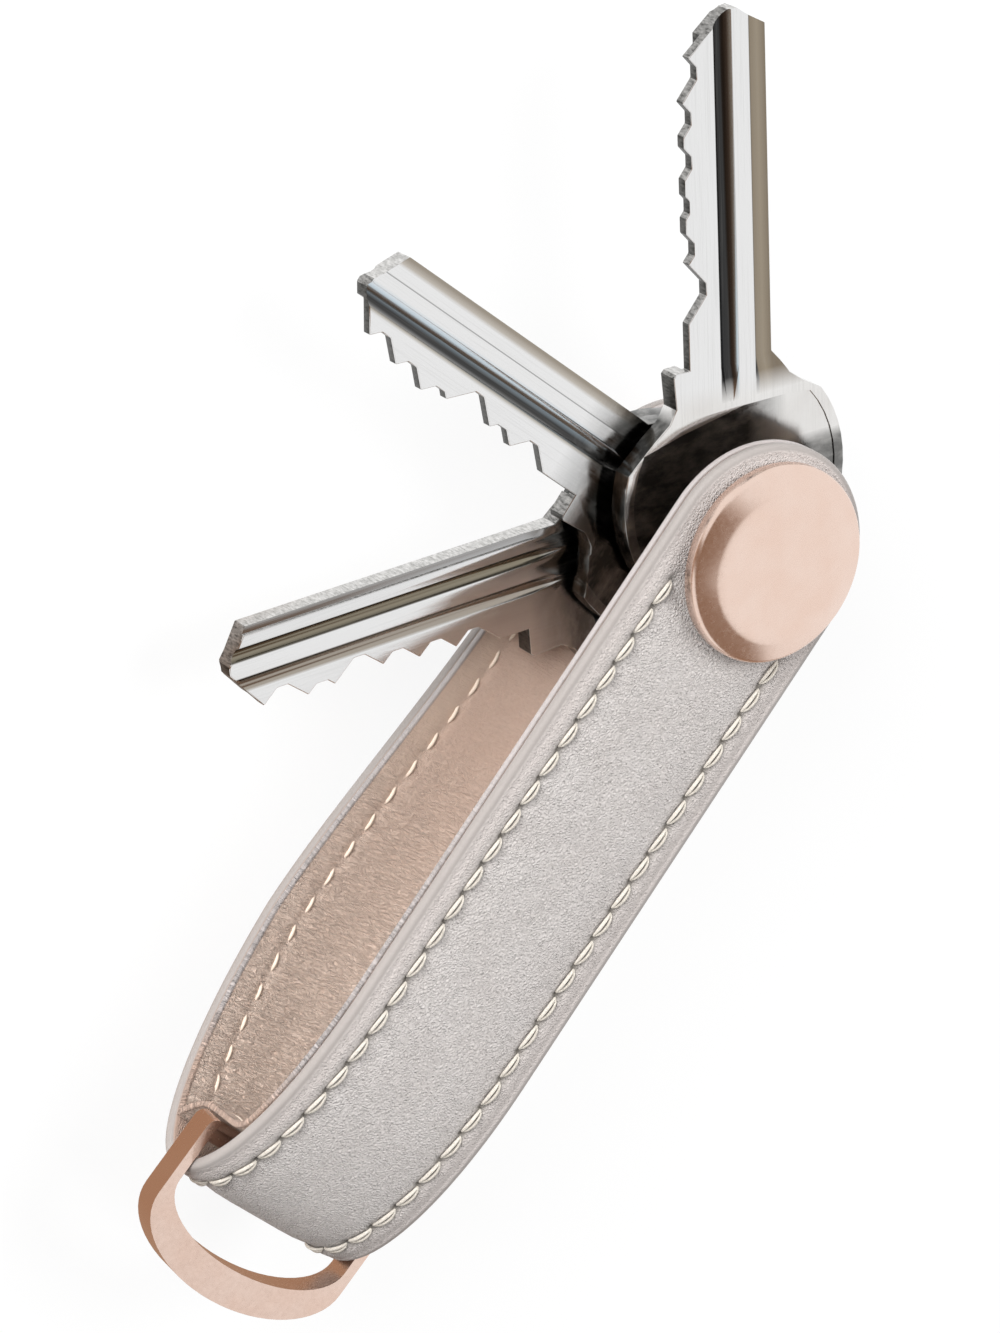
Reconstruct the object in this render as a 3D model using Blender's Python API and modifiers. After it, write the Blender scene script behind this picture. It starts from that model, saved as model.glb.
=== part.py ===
# Leather key organizer: a folded leather band that carries three keys on a
# screwed post, with a D-ring in its fold. It lies on its back. The post's axis
# is Z, the band runs from the post towards -Y, and the origin is the centre of
# the front button's face. Sizes are in millimetres, times mm.

import math

import bmesh
import bpy
from mathutils import Matrix

mm = 0.001

# Clearances
SEAT_GAP = 0.2 * mm          # between flat pieces stacked on the post
BUTTON_GAP = 0.3 * mm        # between the band and each button
GLUE_GAP = 0.15 * mm         # between the outer leather and its lining
RUN_GAP = 0.2 * mm           # round the post and in bores, on the radius
RING_GAP = 0.2 * mm          # between the D-ring's arms and the band's edges
TUNNEL_GAP = 0.3 * mm        # between the D-ring's bar and the lining

# Band
BAND_WIDTH = 20.0 * mm
BAND_END = 9.7 * mm          # from the post's axis to the round end
LEATHER = 1.2 * mm
LINING = 0.5 * mm
LOOP_LENGTH = 68.0 * mm      # from the post's axis to the outside of the fold
FLAT_LENGTH = 47.0 * mm      # from the post's axis, where the front starts to bend
FOLD_DEPTH = 8.8 * mm        # of the fold's outermost line, below the front
BULGE_AT = 46.0 * mm         # from the post's axis, where the back hangs lowest
BULGE = 2.75 * mm            # how far the back hangs below its clamped end
CLAMP_LENGTH = 12.0 * mm     # of the back that the post holds flat
TUNNEL_DEPTH = 6.25 * mm     # from the outside of the fold to the lining's face
TUNNEL_TOP = 5.4 * mm        # of the lining's straight drop, below the front
TUNNEL_FOOT = 8.8 * mm
TUNNEL_SPREAD = 2.6 * mm     # how much nearer to the fold the drop's foot meets the leather

# Buttons, post and screw
BUTTON_DIA = 17.0 * mm
FACE_DIA = 12.5 * mm
BUTTON_HEIGHT = 2.1 * mm
RIM_HEIGHT = 1.2 * mm
RIM_ROUND = 0.25 * mm
POST_DIA = 5.0 * mm
POST_BORE = 3.8 * mm
BORE_FLOOR = 3.0 * mm        # from the flange's face to the floor of the bore
TIP_GAP = 1.0 * mm           # between that floor and the screw's tip
TIP_CHAMFER = 0.4 * mm
FLANGE_DIA = 11.0 * mm
FLANGE_HEIGHT = 0.9 * mm
SLOT_WIDTH = 2.0 * mm
SLOT_DEPTH = 1.1 * mm
SLOT_ARC = 11.0 * mm         # radius of the coin slot's floor

# Rings and washers
EYELET_WALL = 0.4 * mm
EYELET_RIM_DIA = 9.0 * mm
EYELET_RIM = 0.35 * mm
SPRING_DIA = 11.0 * mm
SPRING_PLATE = 0.3 * mm
SPRING_HEIGHT = 0.7 * mm
SLIP_DIA = 13.0 * mm
FRONT_SLIP = 0.5 * mm
REAR_SLIP = 0.4 * mm
SPACER_DIA = 10.0 * mm
SPACER = 0.5 * mm

# Keys
KEY_THICKNESS = 1.9 * mm
KEY_HOLE_DIA = 6.0 * mm
KEY_CHAMFER = 0.12 * mm
BOW_DIA = 22.0 * mm
BOW_CENTRE = 5.2 * mm        # from the key's hole
BOW_FROM = 72                # degrees from the blade's direction, where the round side starts
BOW_RUNOUT = 3.3 * mm        # from a key's heel to where its round side ends
PANEL_DEPTH = 0.2 * mm       # of the sunk panel on each side of the bow
PANEL_RIM = 0.9 * mm
PANEL_TOP = 12.0 * mm        # from the hole to the panel's flat side
PANEL_FROM = 62              # degrees, where the panel's round side starts
BLADE_BACK = 4.2 * mm        # from the blade's middle to its uncut edge
WEB = 0.9 * mm               # thickness of the blade where it is cut
CUT_PITCH = 3.62 * mm
CUT_FLAT = 1.0 * mm
CUT_SLOPE = 0.85             # rise of a cut's sides over their run
TIP_SLOPE = 1.25
TIP_NOSE = 0.5 * mm          # from the blade's middle to where the tip's ramp starts
TIP_CORNER = 1.9 * mm
GROOVE_RUNOUT = 3.6 * mm     # length over which a milled groove rises to the face

# Each key: how far it is turned out, from the hole to its shoulder, its tip and the
# heel of its uncut side, half of its neck, from the blade's middle to its full height
# and to its web, from the shoulder to the first cut, and the depths of the cuts.
# Grooves are (place across the blade, width, depth), and a ledge is (place, depth).
KEYS = {
    "key_front": dict(turn=134.0, shoulder=16.2 * mm, reach=45.5 * mm, heel=15.0 * mm,
                      neck=5.8 * mm, top=4.2 * mm, web=1.8 * mm,
                      first=6.6 * mm, cuts=(1.8, 0.75, 0.4, 0.7, 0.75, 1.4),
                      front=((0.25, 1.8, 0.5),), ledge=(-2.3, 0.45), back=((-0.6, 1.4, 0.45),)),
    "key_middle": dict(turn=182.5, shoulder=15.0 * mm, reach=43.35 * mm, heel=11.5 * mm,
                       neck=6.2 * mm, top=3.9 * mm, web=0.3 * mm,
                       first=6.4 * mm, cuts=(1.55, 1.2, 2.35, 0.95, 1.3, 2.05),
                       front=((-0.1, 1.7, 0.45),), ledge=(-2.2, 0.1), back=((-1.6, 1.4, 0.45),)),
    "key_rear": dict(turn=226.3, shoulder=17.2 * mm, reach=45.2 * mm, heel=13.1 * mm,
                     neck=6.8 * mm, top=4.2 * mm, web=1.8 * mm,
                     first=5.3 * mm, cuts=(1.7, 1.8, 2.1, 2.7, 1.6, 2.4),
                     front=((-2.05, 1.1, 0.4), (0.6, 1.2, 0.4)), ledge=(-3.6, 0.3),
                     back=((-0.7, 1.4, 0.45),)),
}

# D-ring
RING_DEPTH = 2.2 * mm        # of the plate, along Z
RING_ARM = 1.0 * mm
RING_BAR_DIA = 2.0 * mm
RING_REACH = 8.95 * mm       # from the bar's axis to the inside of the far end
RING_CREST = 3.1 * mm        # width of the plate at its far end
RING_INNER_ARM = 4.65 * mm   # straight run of an arm's inner side, from the bar's axis
RING_OUTER_ARM = 6.45 * mm   # straight run of an arm's outer side
RING_AXIS_DEPTH = 7.35 * mm  # of the bar's axis, below the front of the band
RING_ROUND = 0.2 * mm
RING_KNUCKLE = 0.9 * mm      # rounding where an arm bends into the bar
RING_TILT = 4.0              # degrees that the ring hangs away from the front

# Heights, from the button's face down
BAND_FRONT = -(BUTTON_HEIGHT + BUTTON_GAP)
FRONT_INSIDE = BAND_FRONT - LEATHER - GLUE_GAP - LINING
FRONT_RIM = FRONT_INSIDE - SEAT_GAP
SPRING_TOP = FRONT_RIM - EYELET_RIM - SEAT_GAP
FRONT_SLIP_TOP = SPRING_TOP - SPRING_HEIGHT - SEAT_GAP
KEY_TOP = FRONT_SLIP_TOP - FRONT_SLIP - SEAT_GAP
KEY_STEP = KEY_THICKNESS + 2 * SEAT_GAP + SPACER
KEYS_BOTTOM = KEY_TOP - (len(KEYS) - 1) * KEY_STEP - KEY_THICKNESS
REAR_SLIP_TOP = KEYS_BOTTOM - SEAT_GAP
REAR_RIM = REAR_SLIP_TOP - REAR_SLIP - SEAT_GAP
REAR_INSIDE = REAR_RIM - EYELET_RIM - SEAT_GAP
BAND_BACK = REAR_INSIDE - LINING - GLUE_GAP - LEATHER
SCREW_SEAT = BAND_BACK - BUTTON_GAP
SCREW_FACE = SCREW_SEAT - BUTTON_HEIGHT

# Other sizes that follow
EYELET_BORE = POST_DIA / 2 + RUN_GAP
EYELET_RADIUS = EYELET_BORE + EYELET_WALL
BAND_HOLE = EYELET_RADIUS + RUN_GAP
TUNNEL_FACE = -LOOP_LENGTH + TUNNEL_DEPTH
RING_Y = TUNNEL_FACE - LINING - TUNNEL_GAP - RING_BAR_DIA / 2
RING_Z = BAND_FRONT - RING_AXIS_DEPTH
CUTTER_SPARE = 5 * mm        # how far cutters run past what they cut

ROUND_STEPS = 48
SMALL_STEPS = 32
FOLD_STEPS = 12


def clear_scene():
    for obj in list(bpy.data.objects):
        bpy.data.objects.remove(obj, do_unlink=True)


def new_collection(name):
    collection = bpy.data.collections.new(name)
    bpy.context.scene.collection.children.link(collection)
    return collection


def make_material(name, colour, roughness, metallic):
    material = bpy.data.materials.new(name)
    material.use_nodes = True
    shader = material.node_tree.nodes["Principled BSDF"]
    shader.inputs["Base Color"].default_value = (*colour, 1.0)
    shader.inputs["Roughness"].default_value = roughness
    shader.inputs["Metallic"].default_value = metallic
    material.diffuse_color = (*colour, 1.0)
    return material


def link_part(name, data, material):
    obj = bpy.data.objects.new(name, data)
    parts.objects.link(obj)
    obj.data.materials.append(material)
    return obj


def link_cutter(name, data):
    obj = bpy.data.objects.new(name, data)
    cutters.objects.link(obj)
    obj.hide_render = True
    obj.display_type = "WIRE"
    return obj


def arc(cx, cy, radius, start, end, steps):
    """Points on an arc in the XY plane, angles in degrees."""
    points = []
    for i in range(steps + 1):
        angle = math.radians(start + (end - start) * i / steps)
        points.append((cx + radius * math.cos(angle), cy + radius * math.sin(angle)))
    return points


def bezier(p0, p1, p2, p3, steps):
    """Points on a cubic curve, without its last one."""
    points = []
    for i in range(steps):
        t = i / steps
        s = 1 - t
        weights = (s ** 3, 3 * s * s * t, 3 * s * t * t, t ** 3)
        points.append(tuple(sum(w * p[k] for w, p in zip(weights, (p0, p1, p2, p3)))
                            for k in range(2)))
    return points


def flat_mesh(name, points, thickness):
    """A closed flat outline in XY, filled and extruded evenly about Z = 0."""
    curve = bpy.data.curves.new(name + "_outline", "CURVE")
    curve.dimensions = "2D"
    curve.fill_mode = "BOTH"
    curve.extrude = thickness / 2
    spline = curve.splines.new("POLY")
    spline.points.add(len(points) - 1)
    for point, (x, y) in zip(spline.points, points):
        point.co = (x, y, 0, 1)
    spline.use_cyclic_u = True
    outline = bpy.data.objects.new(name + "_outline", curve)
    bpy.context.scene.collection.objects.link(outline)
    graph = bpy.context.evaluated_depsgraph_get()
    mesh = bpy.data.meshes.new_from_object(outline.evaluated_get(graph))
    bpy.data.objects.remove(outline, do_unlink=True)
    mesh.name = name
    weld = bmesh.new()
    weld.from_mesh(mesh)
    bmesh.ops.remove_doubles(weld, verts=weld.verts, dist=0.00001)
    bmesh.ops.recalc_face_normals(weld, faces=weld.faces)
    weld.to_mesh(mesh)
    weld.free()
    return mesh


def turned_mesh(name, points):
    """A closed loop of edges in the XZ plane, for a Screw modifier."""
    mesh = bpy.data.meshes.new(name)
    loop = bmesh.new()
    verts = [loop.verts.new((x, 0, z)) for x, z in points]
    for i, vert in enumerate(verts):
        loop.edges.new((vert, verts[(i + 1) % len(verts)]))
    loop.to_mesh(mesh)
    loop.free()
    return mesh


def cylinder_mesh(name, radius, depth, matrix, steps):
    mesh = bpy.data.meshes.new(name)
    body = bmesh.new()
    bmesh.ops.create_cone(body, cap_ends=True, segments=steps, radius1=radius, radius2=radius,
                          depth=depth, matrix=matrix)
    body.to_mesh(mesh)
    body.free()
    return mesh


def add_screw(obj, steps):
    screw = obj.modifiers.new("turn", "SCREW")
    screw.steps = steps
    screw.render_steps = steps
    screw.use_merge_vertices = True
    screw.merge_threshold = 0.00001
    screw.use_smooth_shade = True


def turned(name, points, material, steps=SMALL_STEPS):
    """A turned piece about the post's axis. Its profile runs down its outer side."""
    obj = link_part(name, turned_mesh(name, points), material)
    add_screw(obj, steps)
    return obj


def ring_profile(inner, outer, top, height):
    return [(outer, top), (outer, top - height), (inner, top - height), (inner, top)]


def boolean(obj, cutter, operation="DIFFERENCE"):
    modifier = obj.modifiers.new(cutter.name, "BOOLEAN")
    modifier.operation = operation
    modifier.object = cutter
    modifier.solver = "EXACT"


def add_bevel(obj, width, segments, angle):
    bevel = obj.modifiers.new("edges", "BEVEL")
    bevel.width = width
    bevel.segments = segments
    bevel.limit_method = "ANGLE"
    bevel.angle_limit = math.radians(angle)


def loop_path():
    """The outside of the band in (y, z), from the front's end round to the back's end."""
    end = BAND_WIDTH
    fold = (-LOOP_LENGTH, BAND_FRONT - FOLD_DEPTH)
    low = (-BULGE_AT, BAND_BACK - BULGE)
    bend = LOOP_LENGTH - FLAT_LENGTH
    belly = LOOP_LENGTH - BULGE_AT
    rise = BULGE_AT - CLAMP_LENGTH
    path = [(end, BAND_FRONT)]
    path += bezier((-FLAT_LENGTH, BAND_FRONT), (-FLAT_LENGTH - 0.62 * bend, BAND_FRONT),
                   (fold[0], fold[1] + 0.54 * FOLD_DEPTH), fold, FOLD_STEPS)
    path += bezier(fold, (fold[0], fold[1] + 0.52 * (low[1] - fold[1])),
                   (low[0] - 0.55 * belly, low[1] + 0.3 * BULGE), low, FOLD_STEPS)
    path += bezier(low, (low[0] + 0.3 * rise, low[1] - 0.04 * BULGE),
                   (-CLAMP_LENGTH - 0.35 * rise, BAND_BACK), (-CLAMP_LENGTH, BAND_BACK), FOLD_STEPS)
    path += [(-CLAMP_LENGTH, BAND_BACK), (end, BAND_BACK)]
    return path


def offset_path(path, distance):
    """The path moved inwards, to the left of its direction of travel."""
    moved = []
    for i, (y, z) in enumerate(path):
        y0, z0 = path[max(i - 1, 0)]
        y1, z1 = path[min(i + 1, len(path) - 1)]
        length = math.hypot(y1 - y0, z1 - z0)
        moved.append((y - (z1 - z0) / length * distance, z + (y1 - y0) / length * distance))
    return moved


def lining_path(outer):
    """The lining's middle line: along the leather, then across the tunnel, close to the bar."""
    middle = offset_path(outer, LEATHER + GLUE_GAP + LINING / 2)
    face = TUNNEL_FACE - LINING / 2
    fold = min(range(len(middle)), key=lambda i: middle[i][0])
    front = [p for p in middle[:fold] if p[0] > TUNNEL_FACE + 1.2 * mm]
    back = [p for p in middle[fold:] if p[0] > TUNNEL_FACE - TUNNEL_SPREAD]
    top = (face, BAND_FRONT - TUNNEL_TOP)
    foot = (face, BAND_FRONT - TUNNEL_FOOT)
    down = bezier(front[-1], (face + 0.3 * mm, front[-1][1] - 0.5 * mm),
                  (face, top[1] + 1 * mm), top, 5)
    up = bezier(foot, (face, foot[1] - 1.2 * mm),
                (back[0][0] + 0.8 * mm, back[0][1] + 0.5 * mm), back[0], 6)
    return front + down[1:] + [top] + up + back


def strip_mesh(name, path, thickness):
    """A strip of even thickness along the path, laid across the band's width."""
    outline = offset_path(path, thickness / 2) + offset_path(path, -thickness / 2)[::-1]
    mesh = flat_mesh(name, outline, BAND_WIDTH)
    mesh.transform(Matrix(((0, 0, 1, 0), (1, 0, 0, 0), (0, 1, 0, 0), (0, 0, 0, 1))))
    return mesh


def build_band():
    """The outer leather and its lining, cut to the band's outline and pierced for the post."""
    radius = BAND_WIDTH / 2
    outline = arc(0, BAND_END - radius, radius, 0, 180, 28)
    outline += [(-radius, -LOOP_LENGTH - CUTTER_SPARE), (radius, -LOOP_LENGTH - CUTTER_SPARE)]
    depth = 3 * (BAND_FRONT - BAND_BACK)
    ends = link_cutter("round_ends", flat_mesh("round_ends", outline, depth))
    hole = link_cutter("post_hole", cylinder_mesh("post_hole", BAND_HOLE, depth, Matrix(), SMALL_STEPS))
    outer = loop_path()
    leather = strip_mesh("outer_leather_band", offset_path(outer, LEATHER / 2), LEATHER)
    lining = strip_mesh("lining_band", lining_path(outer), LINING)
    for mesh, material in ((leather, leather_grey), (lining, lining_blush)):
        strip = link_part(mesh.name, mesh, material)
        boolean(strip, ends, "INTERSECT")
        boolean(strip, hole)


def button_profile(face, up):
    """Half section of a button, from its face to its seat. up is 1 for the front one."""
    rim = BUTTON_DIA / 2
    seat = face - up * BUTTON_HEIGHT
    edge = seat + up * RIM_HEIGHT
    slope = math.atan2(BUTTON_HEIGHT - RIM_HEIGHT, rim - FACE_DIA / 2)
    return [
        (0, face),
        (FACE_DIA / 2, face),
        (rim - RIM_ROUND * math.cos(slope), edge + up * RIM_ROUND * math.sin(slope)),
        (rim, edge - up * RIM_ROUND),
        (rim, seat + up * RIM_ROUND / 2),
        (rim - RIM_ROUND / 2, seat),
    ]


def build_front_button():
    """A cap with a pocket underneath for the post's flange."""
    pocket = FLANGE_DIA / 2 + RUN_GAP
    roof = -BUTTON_HEIGHT + FLANGE_HEIGHT + SEAT_GAP
    inside = [(pocket, -BUTTON_HEIGHT), (pocket, roof), (0, roof)]
    turned("front_button", button_profile(0, 1) + inside, rose_gold, ROUND_STEPS)


def build_post():
    """The barrel that carries the keys, with a flange under the button and a blind bore."""
    top = -BUTTON_HEIGHT + FLANGE_HEIGHT
    floor = top - BORE_FLOOR
    flange, barrel, bore = FLANGE_DIA / 2, POST_DIA / 2, POST_BORE / 2
    profile = [(0, top), (flange, top), (flange, -BUTTON_HEIGHT), (barrel, -BUTTON_HEIGHT),
               (barrel, BAND_BACK), (bore, BAND_BACK), (bore, floor), (0, floor)]
    turned("threaded_post", profile, steel)


def build_screw():
    """The rear button's screw, with a round-bottomed slot for a coin."""
    shank = POST_BORE / 2 - RUN_GAP
    tip = -BUTTON_HEIGHT + FLANGE_HEIGHT - BORE_FLOOR - TIP_GAP
    inside = [(0, tip), (shank - TIP_CHAMFER, tip), (shank, tip - TIP_CHAMFER), (shank, SCREW_SEAT)]
    screw = turned("rear_screw", inside + button_profile(SCREW_FACE, -1)[::-1], rose_gold, ROUND_STEPS)
    place = Matrix.Translation((0, 0, SCREW_FACE + SLOT_DEPTH - SLOT_ARC))
    place = place @ Matrix.Rotation(math.pi / 2, 4, "Y")
    slot = cylinder_mesh("coin_slot", SLOT_ARC, SLOT_WIDTH, place, 96)
    boolean(screw, link_cutter("coin_slot", slot))


def build_rings():
    """Eyelets, washers and spacers, down the stack."""
    bore, wall, rim = EYELET_BORE, EYELET_RADIUS, EYELET_RIM_DIA / 2
    front = [(wall, BAND_FRONT), (wall, FRONT_RIM), (rim, FRONT_RIM), (rim, FRONT_RIM - EYELET_RIM),
             (bore, FRONT_RIM - EYELET_RIM), (bore, BAND_FRONT)]
    rear = [(rim, REAR_RIM), (rim, REAR_RIM - EYELET_RIM), (wall, REAR_RIM - EYELET_RIM),
            (wall, BAND_BACK), (bore, BAND_BACK), (bore, REAR_RIM)]
    turned("front_eyelet", front, steel)
    turned("rear_eyelet", rear, steel)
    foot = SPRING_TOP - SPRING_HEIGHT
    dish = [(SPRING_DIA / 2, foot + SPRING_PLATE), (SPRING_DIA / 2, foot),
            (bore, SPRING_TOP - SPRING_PLATE), (bore, SPRING_TOP)]
    turned("tension_washer", dish, steel)
    turned("front_slip_washer", ring_profile(bore, SLIP_DIA / 2, FRONT_SLIP_TOP, FRONT_SLIP), nylon)
    turned("rear_slip_washer", ring_profile(bore, SLIP_DIA / 2, REAR_SLIP_TOP, REAR_SLIP), nylon)
    for i, name in enumerate(("front_key_spacer", "rear_key_spacer")):
        top = KEY_TOP - KEY_THICKNESS - SEAT_GAP - i * KEY_STEP
        turned(name, ring_profile(bore, SPACER_DIA / 2, top, SPACER), nylon)


def cut_edge(key):
    """The cut edge of a blade, from the tip's ramp back to the shoulder."""
    half = CUT_FLAT / 2
    full = key["top"]
    cuts = [(key["shoulder"] + key["first"] + i * CUT_PITCH, full - depth * mm)
            for i, depth in enumerate(key["cuts"])]
    cuts.reverse()
    run = key["reach"] - TIP_NOSE / TIP_SLOPE - cuts[0][0] - half
    peak = (run + cuts[0][1] / CUT_SLOPE) / (1 / CUT_SLOPE + 1 / TIP_SLOPE)
    points = [(key["reach"] - (TIP_NOSE + peak) / TIP_SLOPE, peak)]
    for i, (place, floor) in enumerate(cuts):
        points += [(place + half, floor), (place - half, floor)]
        if i + 1 < len(cuts):
            gap = CUT_PITCH - CUT_FLAT
            rise = (gap * CUT_SLOPE + cuts[i + 1][1] - floor) / 2
            if floor + rise < full:
                points.append((place - half - rise / CUT_SLOPE, floor + rise))
            else:
                far = cuts[i + 1]
                points.append((place - half - (full - floor) / CUT_SLOPE, full))
                points.append((far[0] + half + (full - far[1]) / CUT_SLOPE, full))
    place, floor = cuts[-1]
    points.append((place - half - (full - floor) / CUT_SLOPE, full))
    return points


def bow_end(key, radius):
    """The angle at which a bow's round side ends, on a circle of this radius."""
    across = key["heel"] - BOW_RUNOUT - BOW_CENTRE
    return 360 - math.degrees(math.acos(across / radius))


def key_outline(key):
    """The key seen from the front, blade along +X and its cuts towards +Y."""
    reach, shoulder, neck, heel = key["reach"], key["shoulder"], key["neck"], key["heel"]
    outline = [(heel + 0.9 * mm, -BLADE_BACK), (reach - TIP_CORNER, -BLADE_BACK),
               (reach - 0.35 * TIP_CORNER, -0.5 * BLADE_BACK), (reach, -TIP_NOSE - 0.7 * mm),
               (reach, -TIP_NOSE)]
    outline += cut_edge(key)
    outline += [(shoulder, key["top"]), (shoulder, neck - 0.3 * mm), (shoulder - 0.3 * mm, neck),
                (shoulder - 3 * mm, neck - 0.2 * mm), (shoulder - 4.2 * mm, neck + 0.5 * mm),
                (shoulder - 5.4 * mm, neck + 2.1 * mm)]
    outline += arc(BOW_CENTRE, 0, BOW_DIA / 2, BOW_FROM, bow_end(key, BOW_DIA / 2), 36)
    outline += [(heel - 2.2 * mm, -BLADE_BACK - 2.8 * mm), (heel - 1.2 * mm, -BLADE_BACK - 1.5 * mm),
                (heel, -BLADE_BACK - 0.7 * mm)]
    return outline


def panel_cutter(name, key, side):
    """The sunk panel of a bow: a disc with a flat side across the neck."""
    radius = BOW_DIA / 2 - PANEL_RIM
    foot = min(PANEL_TOP, key["heel"] - 3 * mm)
    outline = arc(BOW_CENTRE, 0, radius, PANEL_FROM, bow_end(key, radius), 32)
    outline += [(foot, -0.5 * radius), (PANEL_TOP, -0.1 * radius),
                (PANEL_TOP - 1.1 * mm, 0.5 * radius)]
    mesh = flat_mesh(name, outline, 2 * PANEL_DEPTH)
    mesh.transform(Matrix.Translation((0, 0, side * KEY_THICKNESS / 2)))
    return link_cutter(name, mesh)


def groove_cutter(name, key, groove, side):
    """A milled groove: a round bar along the blade whose end tapers out in the neck."""
    place, width, depth = (size * mm for size in groove)
    radius = ((width / 2) ** 2 + depth ** 2) / (2 * depth)
    start = key["shoulder"] - 0.5 * mm
    end = key["reach"] + CUTTER_SPARE
    profile = [(0, end), (radius, end), (radius, start), (0, start - GROOVE_RUNOUT * radius / depth)]
    obj = link_cutter(name, turned_mesh(name, profile))
    add_screw(obj, 20)
    lift = side * (KEY_THICKNESS / 2 + radius - depth)
    obj.matrix_world = Matrix.Translation((0, place, lift)) @ Matrix.Rotation(math.pi / 2, 4, "Y")
    return obj


def ledge_cutter(name, key, low, high, depth, side):
    """A milled step along the blade between two places across it, tapering out in the neck."""
    face = KEY_THICKNESS / 2
    start = key["shoulder"] - 0.4 * mm
    end = key["reach"] + CUTTER_SPARE
    rise = 0.3 * mm
    outline = [(start - GROOVE_RUNOUT * (depth + rise) / (2 * depth), side * (face + rise)),
               (start, side * (face - depth)), (end, side * (face - depth)), (end, side * (face + rise))]
    mesh = flat_mesh(name, outline, high - low)
    mesh.transform(Matrix.Translation((0, (high + low) / 2, 0)) @ Matrix.Rotation(math.pi / 2, 4, "X"))
    return link_cutter(name, mesh)


def build_key(name, key, top):
    obj = link_part(name, flat_mesh(name, key_outline(key), KEY_THICKNESS), nickel)
    add_bevel(obj, KEY_CHAMFER, 1, 30)
    hole = cylinder_mesh(name + "_hole", KEY_HOLE_DIA / 2, 2 * KEY_THICKNESS, Matrix(), SMALL_STEPS)
    tools = [link_cutter(hole.name, hole), panel_cutter(name + "_panel_front", key, 1),
             panel_cutter(name + "_panel_back", key, -1)]
    for side, face in ((1, "front"), (-1, "back")):
        for i, groove in enumerate(key[face]):
            tools.append(groove_cutter(f"{name}_{face}_groove_{i}", key, groove, side))
    place, depth = (size * mm for size in key["ledge"])
    tools.append(ledge_cutter(name + "_ledge", key, -BLADE_BACK - CUTTER_SPARE, place, depth, 1))
    tools.append(ledge_cutter(name + "_web", key, key["web"], key["top"] + RUN_GAP,
                              KEY_THICKNESS - WEB, -1))
    for tool in tools:
        tool.parent = obj
        boolean(obj, tool)
    obj.location = (0, 0, top - KEY_THICKNESS / 2)
    obj.rotation_euler = (0, 0, math.radians(key["turn"]))


def round_end(half_width, straight, reach, steps):
    """Half an ellipse past the end of two straight arms, from the +X side to the -X side."""
    points = []
    for i in range(steps + 1):
        angle = math.pi * i / steps
        points.append((half_width * math.cos(angle), -straight - (reach - straight) * math.sin(angle)))
    return points


def build_ring():
    """A crescent plate on two arms, with a round bar that turns in the tunnel."""
    inside = BAND_WIDTH / 2 + RING_GAP
    outside = inside + RING_ARM
    end = RING_DEPTH / 2
    bend = RING_KNUCKLE
    outline = [(inside, end)] + arc(outside - bend, end - bend, bend, 90, 0, 6)
    outline += round_end(outside, RING_OUTER_ARM, RING_REACH + RING_CREST, 32)
    outline += arc(bend - outside, end - bend, bend, 180, 90, 6) + [(-inside, end)]
    outline += round_end(inside, RING_INNER_ARM, RING_REACH, 28)[::-1]
    ring = link_part("d_ring", flat_mesh("d_ring", outline, RING_DEPTH), rose_gold)
    add_bevel(ring, RING_ROUND, 2, 60)
    bar = cylinder_mesh("ring_bar", RING_BAR_DIA / 2, 2 * inside + RING_ARM,
                        Matrix.Rotation(math.pi / 2, 4, "Y"), 24)
    bar = link_cutter("ring_bar", bar)
    bar.parent = ring
    boolean(ring, bar, "UNION")
    ring.location = (0, RING_Y, RING_Z)
    ring.rotation_euler = (math.radians(RING_TILT), 0, 0)


clear_scene()
parts = new_collection("leather_key_organizer")
cutters = new_collection("cutters")
leather_grey = make_material("leather_grey", (0.50, 0.46, 0.44), 0.55, 0.0)
lining_blush = make_material("lining_blush", (0.60, 0.43, 0.36), 0.5, 0.0)
rose_gold = make_material("rose_gold", (0.85, 0.58, 0.47), 0.28, 1.0)
nickel = make_material("nickel", (0.78, 0.77, 0.75), 0.22, 1.0)
steel = make_material("steel", (0.55, 0.55, 0.55), 0.35, 1.0)
nylon = make_material("nylon", (0.12, 0.12, 0.12), 0.5, 0.0)

build_band()
build_front_button()
build_post()
build_screw()
build_rings()
for level, (name, key) in enumerate(KEYS.items()):
    build_key(name, key, KEY_TOP - level * KEY_STEP)
build_ring()
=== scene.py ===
import math

import bmesh
import bpy
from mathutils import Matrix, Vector, noise


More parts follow.
